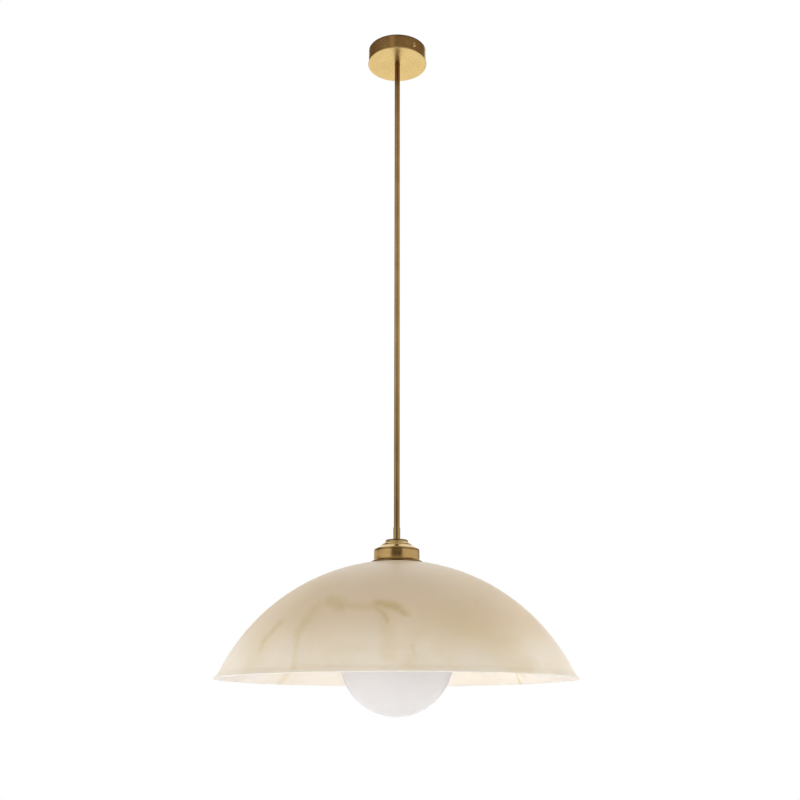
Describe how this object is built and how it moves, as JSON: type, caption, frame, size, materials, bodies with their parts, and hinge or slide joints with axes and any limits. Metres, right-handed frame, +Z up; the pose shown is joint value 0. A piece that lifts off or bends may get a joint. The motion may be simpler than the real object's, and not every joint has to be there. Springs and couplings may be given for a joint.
{
  "type": "pendant light",
  "caption": "Rod pendant with a shallow round canopy, a stepped gallery and a wide dome shade that is open below over a globe lamp.",
  "frame": {"origin": "centre of the two ceiling screw slots, on the ceiling plane", "axes": "+Z up into the ceiling along the rod, the light hangs towards -Z; -Y is the front, the side seen in the picture; +X is to the right"},
  "size_m": [0.4739, 0.474, 0.9945],
  "materials": {
    "aged_brass": "satin, brushed and lacquered antique brass",
    "plain_brass": "satin, bare turned brass",
    "contact_bronze": "satin, bare phosphor bronze",
    "zinc_steel": "satin, zinc plated",
    "tinned_copper": "satin, tin plated copper",
    "block_plastic": "matte, natural polyamide",
    "felt": "matte, pressed felt",
    "silicone": "matte, translucent silicone",
    "porcelain": "matte, unglazed porcelain",
    "alabaster_glass": "satin, cream marbled pressed glass",
    "opal_glass": "satin, white opal glass",
    "lamp_aluminium": "satin, rolled sheet",
    "black_glass": "gloss, moulded black glass",
    "solder": "satin, soft solder",
    "filament_glass": "gloss, clear glass with coated filament strips",
    "brown_sleeve": "matte, brown insulation",
    "blue_sleeve": "matte, light blue insulation",
    "earth_sleeve": "matte, green and yellow insulation"
  },
  "bodies": {
    "frame": {"ceiling_plate": "zinc_steel", "rod_washer": "zinc_steel", "rod_nuts": "plain_brass", "terminal_block": "block_plastic", "terminal_barrels": "plain_brass", "terminal_screws": "zinc_steel", "block_screw": "zinc_steel", "earth_screws": "plain_brass", "earth_tags": "tinned_copper", "rod": "aged_brass", "foot_collar": "aged_brass", "top_disc": "aged_brass", "gallery_cover": "aged_brass", "gallery_gasket": "felt", "shade": "alabaster_glass", "shade_washer": "silicone", "shade_ring": "plain_brass", "holder_cap": "plain_brass", "holder_skirt": "plain_brass", "holder_insert": "porcelain", "screw_shell": "plain_brass", "centre_contact": "contact_bronze", "side_contact": "contact_bronze", "holder_screws": "zinc_steel", "live_wire": "brown_sleeve", "neutral_wire": "blue_sleeve", "earth_wire": "earth_sleeve"},
    "canopy": {"canopy": "aged_brass"},
    "canopy_screw_front": {"canopy_screw_front": "aged_brass"},
    "canopy_screw_rear": {"canopy_screw_rear": "aged_brass"},
    "lamp": {"lamp_globe": "opal_glass", "lamp_cap": "lamp_aluminium", "lamp_insulator": "black_glass", "lamp_contact": "solder", "lamp_filaments": "filament_glass"}
  },
  "joints": [
    {"name": "canopy_slide", "type": "slide", "parent": "frame", "child": "canopy", "axis": [0, 0, -1], "range_m": [0, 0.7225]},
    {"name": "canopy_screw_front_out", "type": "slide", "parent": "canopy", "child": "canopy_screw_front", "axis": [0.5736, -0.8192, 0], "range_m": [0, 0.0022]},
    {"name": "canopy_screw_rear_out", "type": "slide", "parent": "canopy", "child": "canopy_screw_rear", "axis": [-0.5736, 0.8192, 0], "range_m": [0, 0.0022]},
    {"name": "lamp_out", "type": "slide", "parent": "frame", "child": "lamp", "axis": [0, 0, -1], "range_m": [0, 0.155]}
  ]
}
